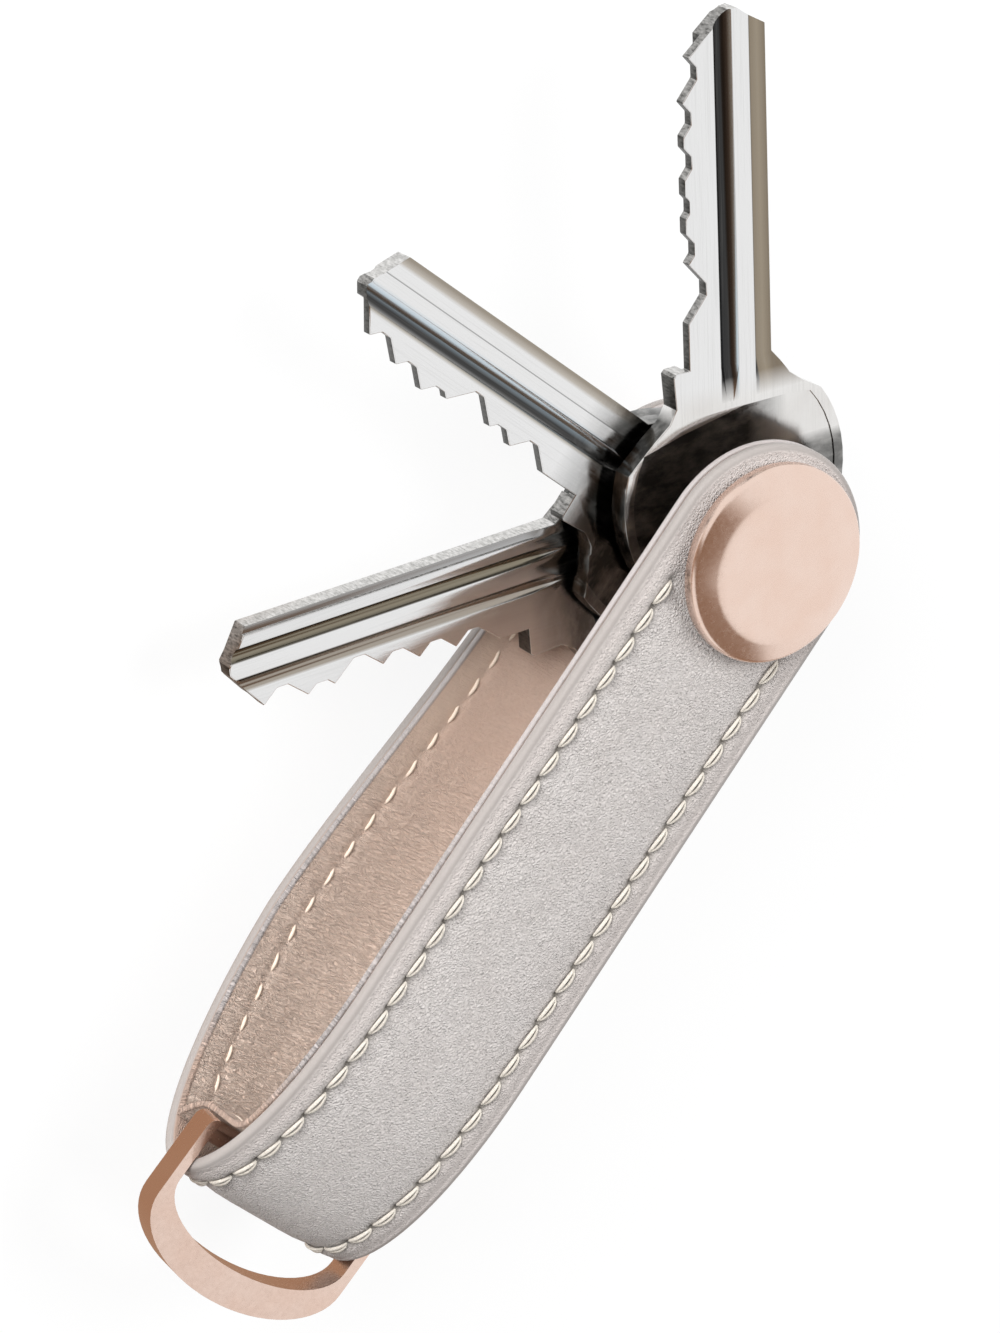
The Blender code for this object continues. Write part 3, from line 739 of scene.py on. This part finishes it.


# the keys, with places in mm: turn is where a key points, in degrees; its stripes are
# (place across, colour) of painted reflection and painted shade for the blade's flats, grooves
# and ledge, and full from blade on; top is the height of its face, below which the bow's panel
# has a painted dark reflection from darkSide on, across; and near is where the painted shade round the
# post ends

keys = dict(
    key_front=dict(
        body="front_key", turn=134.0, blade=14.6, top=-6.6, darkSide=(-5.5, -1.5), near=(7.0, 8.0),
        stripes=(
            (-4.2, (0.22, 0.18, 0.135)), (-3.4, (0.32, 0.27, 0.205)), (-2.7, (0.26, 0.215, 0.16)),
            (-2.56, 0.05), (-2.4, 0.04), (-2.24, 0.8), (-0.7, 0.8), (-0.55, (0.5, 0.6, 0.66)),
            (-0.36, 0.14), (-0.1, 0.05), (0.5, 0.035), (1.08, 0.03), (1.18, 0.8))),
    key_middle=dict(
        body="middle_key", turn=182.5, blade=13.6, top=-9.4, darkSide=(-20, -19), near=(13.0, 18.5),
        stripes=(
            (-4.0, (0.33, 0.29, 0.24)), (-3.5, (0.52, 0.48, 0.43)), (-3.2, 0.8), (-2.27, 0.8),
            (-2.2, 0.15), (-2.13, 0.8), (-1.2, 0.8), (-0.75, (0.58, 0.66, 0.72)),
            (-0.3, (0.2, 0.24, 0.27)), (0.1, 0.05), (0.4, 0.06), (0.6, 0.2),
            (0.8, (0.46, 0.43, 0.38)), (1.05, 0.8))),
    key_rear=dict(
        body="rear_key", turn=226.3, blade=15.6, top=-12.2, darkSide=(-20, -19), near=(12.5, 17.0),
        stripes=(
            (-3.66, 0.4), (-3.5, 0.76), (-2.66, 0.76), (-2.56, (0.07, 0.06, 0.045)),
            (-2.3, (0.2, 0.175, 0.13)), (-1.75, (0.25, 0.22, 0.165)), (-1.52, (0.1, 0.09, 0.07)),
            (-1.42, 0.8), (-0.1, 0.8), (0.02, (0.13, 0.11, 0.09)), (0.3, (0.33, 0.29, 0.25)),
            (1.1, (0.38, 0.34, 0.29)), (1.24, 0.78))),
)

metalEdges = dict(key=0.06 * mm, screw=0.1 * mm)

# which of a blade's sides get painted light or painted shade
milling = dict(
    start=13.0 * mm,          # along the key, from where its sides are milled
    upright=0.4,              # a side's greatest tilt
    facing=(-0.77, 0.64),     # in X and Y, where the lightest sides face
    ground=0.93,              # how much a side faces that way, for the lightest or the middle painted light
    tip=0.45,
)


def makeKey(node):
    blank = mergedCopy(node, node + "Blank")
    roundEdges(blank, metalEdges["key"], 2)
    smooth(blank, sharp)
    return blank


def paintSideLight(blank, turn, *litCopies):
    # painted shade and light by which way a side faces: a blade's cut sides are darkest, its tip is
    # lighter, and its ground back is lightest
    for litCopy in litCopies:
        blank.data.materials.append(litCopy)
    for face in blank.data.polygons:
        along = face.center.x * math.cos(turn) + face.center.y * math.sin(turn)
        if abs(face.normal.z) < milling["upright"] and along > milling["start"]:
            light = face.normal.xy.dot(Vector(milling["facing"]))
            face.material_index = 3 if light > milling["ground"] else 2 if light > milling["tip"] else 1


# materials

# of the leather, where border and the stitches' dark tone are painted shade
leatherTones = dict(
    light=(0.59, 0.555, 0.54), broad=(0.54, 0.495, 0.475), border=(0.485, 0.44, 0.42),
    speck=(0.38, 0.355, 0.34), pore=(0.33, 0.305, 0.29), stitchShadeTone=(0.085, 0.075, 0.055),
    paint=(0.315, 0.287, 0.272), paintDark=(0.25, 0.228, 0.217), underside=(0.52, 0.385, 0.315),
)

# of the lining, where crest and valley are painted light and shade on the wrinkles, fold is painted
# light and border is painted shade
liningTones = dict(
    crest=(0.98, 0.81, 0.70), valley=(0.60, 0.455, 0.375), broad=(0.66, 0.49, 0.40),
    speck=(0.52, 0.36, 0.28), fold=(0.98, 0.81, 0.69), border=(0.66, 0.53, 0.42),
    cut=(0.46, 0.33, 0.265), painted=(0.40, 0.365, 0.355),
)

threads = dict(
    creamThread=dict(colour=(0.78, 0.74, 0.64), rough=0.62, scale=7.0, depth=0.05 * mm, strength=0.7,
                     dark=(0.48, 0.44, 0.385), light=(0.70, 0.655, 0.59)),
    blushThread=dict(colour=(0.80, 0.66, 0.55), rough=0.6, scale=8.0, depth=0.04 * mm, strength=0.6,
                     dark=(0.76, 0.62, 0.50), light=(0.90, 0.78, 0.67)),
)

# dark, middle and light copies of the blade's side metal, for painted shade and painted light
sideLightTones = dict(
    shadedSideNickel=((0.035, 0.034, 0.031), (0.14, 0.137, 0.13)),
    tipNickel=((0.12, 0.118, 0.112), (0.52, 0.51, 0.495)),
    litSideNickel=((0.46, 0.455, 0.44), (0.86, 0.85, 0.835)),
)

# the keys' metal, with places in mm along a key from the post
keyLook = dict(
    bladeFade=2.0,            # where the stripes fade in, before the blade
    bowEnd=(12.0, 13.0),
    panelTop=(0.14, 0.06),    # below the face, where the bow's dark panel starts
    postShade=0.86,               # painted shade round the post
    # the bow's colours, for its painted reflection and painted shade
    bowDark=(0.07, 0.07, 0.067),
    bowLight=(0.3, 0.295, 0.285),
)


def grainLeather():
    tones = leatherTones
    m = Nodes("grainLeather", (0.56, 0.52, 0.495), 0.56)
    flat = m.coords(uv=True)
    edge = m.attribute("edgeDistance")
    onFace = m.spread(edge, 0.4, 0.6)
    pores = m.cells(m.stretch(flat, (3.2, 4.6, 1)), 1.0, "F1")
    hole = m.maths("MULTIPLY", m.spread(pores, 0.1, 0.42, 1.0, 0.0),
                   m.spread(m.noise(flat, 1.7, 2), 0.35, 0.6, 0.5, 1.0))
    pebble = m.spread(m.cells(flat, 3.6), 0.0, 0.3)
    fine = m.noise(flat, 5.5, 4, 0.6)
    broad = m.noise(flat, 0.22, 3)
    tone = m.mix(m.spread(broad, 0.35, 0.65, 0.0, 0.4), tones["light"], tones["broad"])
    # painted shade: the border beside the edge is darker
    tone = m.mix(m.spread(edge, 1.4, 3.2, 0.9, 0.0), tone, tones["border"])
    tone = m.mix(m.spread(fine, 0.3, 0.7, 0.3, 0.0), tone, tones["speck"])
    tone = m.mix(m.maths("MULTIPLY", hole, 0.7), tone, tones["pore"])
    # painted shade in the stitch rows and round their holes
    tone = m.mix(m.maths("MULTIPLY", m.attribute("stitchShade"), 0.92), tone, tones["stitchShadeTone"])
    paint = m.mix(m.spread(fine, 0.3, 0.7, 0.0, 0.3), tones["paint"], tones["paintDark"])
    outside = m.mix(onFace, paint, tone)
    m.use("Base Color", m.mix(m.attribute("underside"), outside, tones["underside"]))
    m.use("Roughness", m.spread(onFace, 0.0, 1.0, 0.42, 0.55))
    height = m.maths("ADD", pebble, m.maths("MULTIPLY", fine, 0.9))
    height = m.maths("MULTIPLY", m.maths("SUBTRACT", height, hole), onFace)
    height = m.maths("MULTIPLY", height, m.spread(edge, 0.6, 2.8, 0.4, 1.0))
    grain = m.bump(height, 0.085 * mm, 1.0)
    m.use("Normal", m.bump(m.noise(flat, 1.1, 3), 0.06 * mm, 0.6, after=grain))
    m.put("Sheen Weight", 0.12)
    m.put("Sheen Roughness", 0.4)
    return m.material


def blushLining():
    tones = liningTones
    m = Nodes("blushLining", (0.76, 0.58, 0.48), 0.5)
    flat = m.coords(uv=True)
    edge = m.attribute("edgeDistance")
    folded = m.attribute("nearFold")
    painted = m.maths("MULTIPLY", m.spread(edge, 0.15, 0.3, 1.0, 0.0),
                      m.spread(folded, 0.8, 0.88, 1.0, 0.0))
    border = m.spread(edge, 2.3, 3.1, 1.0, 0.0)
    creases = []
    for turn, scale, pattern, width in ((0.12, (1.9, 0.26, 1), (1.7, 4, 0.5, 0.4), 0.09),
                                        (-0.5, (2.4, 0.8, 1), (1.2, 4, 0.6, 0.5), 0.08)):
        waves = m.noise(m.stretch(m.coords(turn=(0, 0, turn), uv=True), scale), *pattern)
        line = m.maths("ABSOLUTE", m.maths("SUBTRACT", waves, 0.5), 0.0)
        creases.append(m.spread(line, 0.0, width))
    creases = m.maths("MULTIPLY", creases[0], m.spread(creases[1], 0.0, 1.0, 0.45, 1.0))
    wrinkle = m.mix(folded, (1, 1, 1), creases)
    fine = m.noise(flat, 3.2, 4, 0.6)
    # painted light on the wrinkles' crests, and painted shade in their valleys
    rose = m.mix(wrinkle, tones["crest"], tones["valley"])
    rose = m.mix(m.spread(m.noise(flat, 0.3, 3), 0.35, 0.7, 0.0, 0.4), rose, tones["broad"])
    rose = m.mix(m.spread(fine, 0.35, 0.6, 0.35, 0.0), rose, tones["speck"])
    # painted light, lighter towards the fold
    rose = m.mix(m.spread(folded, 0.05, 0.75, 0.0, 0.45), rose, tones["fold"])
    # painted shade on the border by the edge, away from the fold
    borderShade = m.maths("MULTIPLY", border, m.spread(folded, 0.0, 0.5, 0.5, 0.0))
    tone = m.mix(borderShade, rose, tones["border"])
    tone = m.mix(m.spread(edge, 0.2, 0.35, 1.0, 0.0), tone, tones["cut"])
    m.use("Base Color", m.mix(painted, tone, tones["painted"]))
    m.use("Roughness", m.spread(fine, 0.3, 0.7, 0.34, 0.5))
    wave = m.bump(m.maths("SUBTRACT", 1.0, wrinkle), 0.22 * mm, 1.0)
    m.use("Normal", m.bump(fine, 0.04 * mm, 0.9, after=wave))
    m.put("Sheen Weight", 0.1)
    return m.material


def threadStrands(name):
    look = threads[name]
    m = Nodes(name, look["colour"], look["rough"])
    strands = m.noise(m.coords(), look["scale"], 3, 0.6)
    m.use("Base Color", m.mix(m.spread(strands, 0.3, 0.7), look["dark"], look["light"]))
    m.use("Normal", m.bump(strands, look["depth"], look["strength"]))
    return m.material


def roseGold():
    m = Nodes("roseGold", (0.84, 0.64, 0.545), 0.26, 1.0)
    place = m.coords()
    satin = m.noise(place, 2.4, 4, 0.6)
    cloud = m.noise(place, 0.3, 2)
    m.use("Base Color", m.mix(m.spread(cloud, 0.35, 0.65), (0.85, 0.665, 0.575), (0.83, 0.63, 0.535)))
    m.use("Roughness", m.spread(satin, 0.3, 0.7, 0.2, 0.29))
    m.use("Normal", m.bump(satin, 0.002 * mm, 0.5))
    return m.material


def keyMetal(name, key):
    # the fine milling lines follow the blade, and the stripes paint reflection and shade on its flats,
    # grooves and ledge
    m = Nodes(name, (0.80, 0.79, 0.77), 0.14, 1.0)
    place = m.coords(turn=(0, 0, -math.radians(key["turn"])))
    along, across, height = m.split(place)[:3]
    lines = m.noise(m.stretch(place, (0.06, 3.0, 3.0)), 2.0, 4, 0.6)
    stains = m.noise(place, 0.16, 3)
    plain = m.mix(m.spread(stains, 0.4, 0.7), (0.80, 0.79, 0.775), (0.72, 0.70, 0.68))
    # painted reflection and painted shade, in stripes across the blade
    stripes = m.ramp(m.spread(across, -5, 5), [(0.5 + at / 10, colour) for at, colour in key["stripes"]])
    blade = m.spread(along, key["blade"] - keyLook["bladeFade"], key["blade"])
    tone = m.mix(blade, plain, stripes)
    tone = m.mix(m.spread(lines, 0.35, 0.5, 0.1, 0.0), tone, (0.3, 0.29, 0.27))
    # the metal is darkest in the bow, from a painted dark reflection in its sunk panel and painted shade
    # round the post
    panel = [key["top"] - down for down in keyLook["panelTop"]]
    sunk = m.maths("MULTIPLY", m.spread(along, *keyLook["bowEnd"], 1.0, 0.0),
                   m.spread(height, *panel, 1.0, 0.0))
    sunk = m.maths("MULTIPLY", sunk, m.spread(across, *key["darkSide"]))
    paintedDarkness = m.maths("MAXIMUM", sunk, m.spread(along, *key["near"], keyLook["postShade"], 0.0))
    cloud = m.noise(m.stretch(place, (1.0, 0.45, 1.0)), 0.6, 5, 0.65)
    bow = m.mix(m.spread(cloud, 0.42, 0.68), keyLook["bowDark"], keyLook["bowLight"])
    m.use("Base Color", m.mix(paintedDarkness, tone, bow))
    m.use("Roughness", m.spread(lines, 0.3, 0.7, 0.1, 0.24))
    m.use("Normal", m.bump(lines, 0.008 * mm, 0.6))
    return m.material


def sideLightNickel(name, low, high):
    m = Nodes(name, high, 0.36, 1.0)
    chatter = m.noise(m.coords(scale=(1.7, 1.7, 0.6)), 2.6, 4, 0.65)
    m.use("Base Color", m.mix(m.spread(chatter, 0.35, 0.65), low, high))
    m.use("Roughness", m.spread(chatter, 0.3, 0.7, 0.26, 0.45))
    m.use("Normal", m.bump(chatter, 0.05 * mm, 0.8))
    return m.material


def turnedSteel():
    m = Nodes("turnedSteel", (0.52, 0.51, 0.50), 0.32, 1.0)
    rings = m.noise(m.coords(scale=(1, 1, 8)), 1.2, 3)
    m.use("Roughness", m.spread(rings, 0.3, 0.7, 0.25, 0.4))
    m.use("Base Color", m.mix(m.spread(rings, 0.3, 0.7), (0.50, 0.49, 0.48), (0.58, 0.57, 0.555)))
    return m.material


def blackNylon():
    m = Nodes("blackNylon", (0.03, 0.03, 0.032), 0.45)
    speck = m.noise(m.coords(), 4.0, 3)
    m.use("Roughness", m.spread(speck, 0.3, 0.7, 0.38, 0.55))
    m.use("Normal", m.bump(speck, 0.01 * mm, 0.5))
    return m.material


# camera, lamps and floor

camera = dict(
    place=(-267.96 * mm, -37.87 * mm, 304.37 * mm),
    turn=(-22.456, -33.175, 41.183),      # degrees
    lens=135.03,
    sensor=36,
    nearest=0.01,
)

studio = dict(
    keyPlace=(0.30, 0.46, 0.62),
    keySize=0.6,
    keyPower=6.1,
    fillPlace=(-0.54, -0.02, 0.20),
    fillSize=0.5,
    fillPower=6.0,
    sky=0.24,
    middle=(0, -0.03, ground),
    aim=(0, -0.03, -0.01),
    floorSize=2.4,
    floorTone=0.9,
    shadowShare=0.12,         # how much of the floor's own shade shows through the white
    tentRadius=1.0,
    # the tent's dim panels, and the dim part of its foot: for each of their edges its axis,
    # where it is dim and where it is white
    panels=((("Y", -0.37, -0.30), ("Y", -0.69, -0.76)),
            (("X", 0.0, 0.25), ("X", -0.6, -0.75), ("Y", 0.15, 0.35), ("Y", -0.55, -0.65))),
    foot=((("Y", -0.045, -0.015),),),
    footHeight=0.3 * mm,      # above the floor
    footHole=0.012,           # radius of the floor that the foot leaves open
    dimSide=(0.28, 0.182, 0.125),
    dimFoot=(0.43, 0.28, 0.19),
)


def makeCamera():
    data = bpy.data.cameras.new("camera")
    data.lens = camera["lens"]
    data.sensor_width = camera["sensor"]
    data.clip_start = camera["nearest"]
    obj = bpy.data.objects.new("camera", data)
    bpy.context.scene.collection.objects.link(obj)
    obj.location = camera["place"]
    obj.rotation_euler = [math.radians(angle) for angle in camera["turn"]]
    bpy.context.scene.camera = obj


def makeLamp(name):
    data = bpy.data.lights.new(name + "Lamp", "AREA")
    data.shape = "DISK"
    data.size = studio[name + "Size"]
    data.energy = studio[name + "Power"]
    lamp = bpy.data.objects.new(name + "Lamp", data)
    bpy.context.scene.collection.objects.link(lamp)
    lamp.location = studio[name + "Place"]
    towards = Vector(studio["aim"]) - Vector(studio[name + "Place"])
    lamp.rotation_euler = towards.to_track_quat("-Z", "Y").to_euler()
    lamp.visible_glossy = False           # the metal mirrors the tent instead


def combine(tree, work, first, second):
    node = tree.nodes.new("ShaderNodeMath")
    node.operation = work
    tree.links.new(first, node.inputs[0])
    tree.links.new(second, node.inputs[1])
    return node.outputs["Value"]


def seesBackground(tree):
    # 1 for the rays that should meet plain white
    path = tree.nodes.new("ShaderNodeLightPath")
    total = path.outputs["Is Camera Ray"]
    for kind in ("Is Glossy Ray", "Is Transmission Ray"):
        total = combine(tree, "MAXIMUM", total, path.outputs[kind])
    return total


def makeWorld():
    world = bpy.data.worlds.new("studioWorld")
    bpy.context.scene.world = world
    world.use_nodes = True
    tree = world.node_tree
    back = tree.nodes["Background"]
    strength = tree.nodes.new("ShaderNodeMapRange")
    strength.inputs["To Min"].default_value = studio["sky"]
    strength.inputs["To Max"].default_value = 1.0
    tree.links.new(seesBackground(tree), strength.inputs["Value"])
    tree.links.new(strength.outputs["Result"], back.inputs["Strength"])
    back.inputs["Color"].default_value = (1, 1, 1, 1)


def makeFloor():
    bpy.ops.mesh.primitive_plane_add(size=studio["floorSize"], location=studio["middle"])
    floor = bpy.context.object
    floor.name = "floor"
    settle(floor)
    material = bpy.data.materials.new("paleFloor")
    material.use_nodes = True
    tree = material.node_tree
    shader = tree.nodes["Principled BSDF"]
    tone = studio["floorTone"]
    shader.inputs["Base Color"].default_value = (tone, tone, tone, 1)
    shader.inputs["Roughness"].default_value = 0.9
    glow = tree.nodes.new("ShaderNodeEmission")
    glow.inputs["Color"].default_value = (1, 1, 1, 1)
    mixer = tree.nodes.new("ShaderNodeMixShader")
    share = tree.nodes.new("ShaderNodeMath")
    share.operation = "MULTIPLY"
    share.inputs[1].default_value = 1 - studio["shadowShare"]
    tree.links.new(seesBackground(tree), share.inputs[0])
    tree.links.new(share.outputs["Value"], mixer.inputs["Fac"])
    tree.links.new(shader.outputs["BSDF"], mixer.inputs[1])
    tree.links.new(glow.outputs["Emission"], mixer.inputs[2])
    tree.links.new(mixer.outputs["Shader"], tree.nodes["Material Output"].inputs["Surface"])
    floor.data.materials.append(material)


def tentCloth(name, dim, panels):
    # white, except where it is inside all the edges of a dim panel
    material = bpy.data.materials.new(name)
    material.use_nodes = True
    tree = material.node_tree
    tree.nodes.remove(tree.nodes["Principled BSDF"])
    place = tree.nodes.new("ShaderNodeTexCoord")
    split = tree.nodes.new("ShaderNodeSeparateXYZ")
    tree.links.new(place.outputs["Object"], split.inputs["Vector"])
    white = None
    for panel in panels:
        outside = None
        for axis, dimAt, whiteAt in panel:
            share = tree.nodes.new("ShaderNodeMapRange")
            share.interpolation_type = "SMOOTHSTEP"
            share.inputs["From Min"].default_value = min(dimAt, whiteAt)
            share.inputs["From Max"].default_value = max(dimAt, whiteAt)
            share.inputs["To Min"].default_value = 0 if dimAt < whiteAt else 1
            share.inputs["To Max"].default_value = 1 if dimAt < whiteAt else 0
            tree.links.new(split.outputs[axis], share.inputs["Value"])
            past = share.outputs["Result"]
            outside = combine(tree, "MAXIMUM", outside, past) if outside else past
        white = combine(tree, "MINIMUM", white, outside) if white else outside
    blend = tree.nodes.new("ShaderNodeMix")
    blend.data_type = "RGBA"
    blend.inputs[6].default_value = (*dim, 1)
    blend.inputs[7].default_value = (1, 1, 1, 1)
    glow = tree.nodes.new("ShaderNodeEmission")
    tree.links.new(white, blend.inputs["Factor"])
    tree.links.new(blend.outputs[2], glow.inputs["Color"])
    tree.links.new(glow.outputs["Emission"], tree.nodes["Material Output"].inputs["Surface"])
    return material


def makeTent():
    # a light tent that only reflections meet, open at the foot under the object
    radius = studio["tentRadius"]
    foot = ground + studio["footHeight"]
    bpy.ops.mesh.primitive_uv_sphere_add(segments=96, ring_count=48, radius=radius,
                                         location=studio["middle"])
    tent = bpy.context.object
    tent.name = "studioTent"
    settle(tent)
    openMesh(tent, "EDGE")
    bpy.ops.mesh.select_all(action="SELECT")
    bpy.ops.mesh.bisect(plane_co=(0, 0, foot), plane_no=(0, 0, 1), clear_inner=True)
    selectEdges(tent, lambda a, b: max(a.z, b.z) < foot + closeBy)
    share = studio["footHole"] / radius
    bpy.ops.mesh.extrude_region_move(TRANSFORM_OT_translate={"value": (0, 0, 0)})
    bpy.ops.transform.resize(value=(share, share, 1), center_override=studio["middle"])
    closeMesh()
    tent.data.materials.append(tentCloth("tentSide", studio["dimSide"], studio["panels"]))
    tent.data.materials.append(tentCloth("tentFoot", studio["dimFoot"], studio["foot"]))
    for face in tent.data.polygons:
        face.material_index = 1 if face.center.z < foot + closeBy else 0
    for ray in ("camera", "diffuse", "transmission", "shadow", "volume_scatter"):
        setattr(tent, "visible_" + ray, False)


# the scene

bpy.context.scene.view_settings.view_transform = "Standard"
makeCamera()
makeWorld()
makeFloor()
makeTent()
makeLamp("key")
makeLamp("fill")
print("camera, lamps and floor are in place")

outerRun = loopRun()
innerRun = liningRun(outerRun)
outerCurve = loopCurve("outerLoop", outerRun)
innerCurve = loopCurve("innerLoop", innerRun)

leather, leatherLength = makeLeather(outerRun)
wrapOnLoop(leather, outerCurve)
finishPiece(leather, "strap", "leather_grey", grainLeather(), "outer_leather_band")
print("outer leather:", round(leatherLength / mm, 1), "mm long,", len(leather.data.polygons), "faces")

lining, liningLength = makeLining(innerRun)
wrapOnLoop(lining, innerCurve)
finishPiece(lining, "strap", "lining_blush", blushLining(), "lining_band")
print("lining:", round(liningLength / mm, 1), "mm long,", len(lining.data.polygons), "faces")

stitches = makeStitches("bandStitches", leatherLength, outerCurve, outerStitch)
finishPiece(stitches, "strap", "leather_grey", threadStrands("creamThread"))
innerStitches = makeStitches("liningStitches", liningLength, innerCurve, innerStitch)
finishPiece(innerStitches, "strap", "lining_blush", threadStrands("blushThread"))
drop(outerCurve)
drop(innerCurve)
print("stitches:", len(stitches.data.polygons) + len(innerStitches.data.polygons), "faces")

rose = roseGold()
steel = turnedSteel()
nylon = blackNylon()
cap = makeButton()
finishPiece(cap, "strap", "rose_gold", rose, "front_button")
screw = mergedCopy("rear_screw", "buttonScrew")
roundEdges(screw, metalEdges["screw"], 3)
smooth(screw, sharp)
finishPiece(screw, "screw", "rose_gold", rose, "rear_screw")
ring = mergedCopy("d_ring", "ringForged", 1.0)
smooth(ring, 45)
flatten = ring.modifiers.new("flat faces", "WEIGHTED_NORMAL")
flatten.keep_sharp = True
applyModifiers(ring)
finishPiece(ring, "ring", "rose_gold", rose, "d_ring")
print("button, screw and ring are made")

# copies of the side metal for painted shade and painted light
litCopies = [sideLightNickel(name, *tones) for name, tones in sideLightTones.items()]
for node, key in keys.items():
    blank = makeKey(node)
    finishPiece(blank, key["body"], "nickel", keyMetal(node + "Metal", key), node)
    paintSideLight(blank, math.radians(key["turn"]), *litCopies)
print("keys are made")

for node in ("threaded_post", "front_eyelet", "rear_eyelet", "tension_washer"):
    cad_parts[node].material_slots[0].material = steel
for node in ("front_slip_washer", "rear_slip_washer", "front_key_spacer", "rear_key_spacer"):
    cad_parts[node].material_slots[0].material = nylon
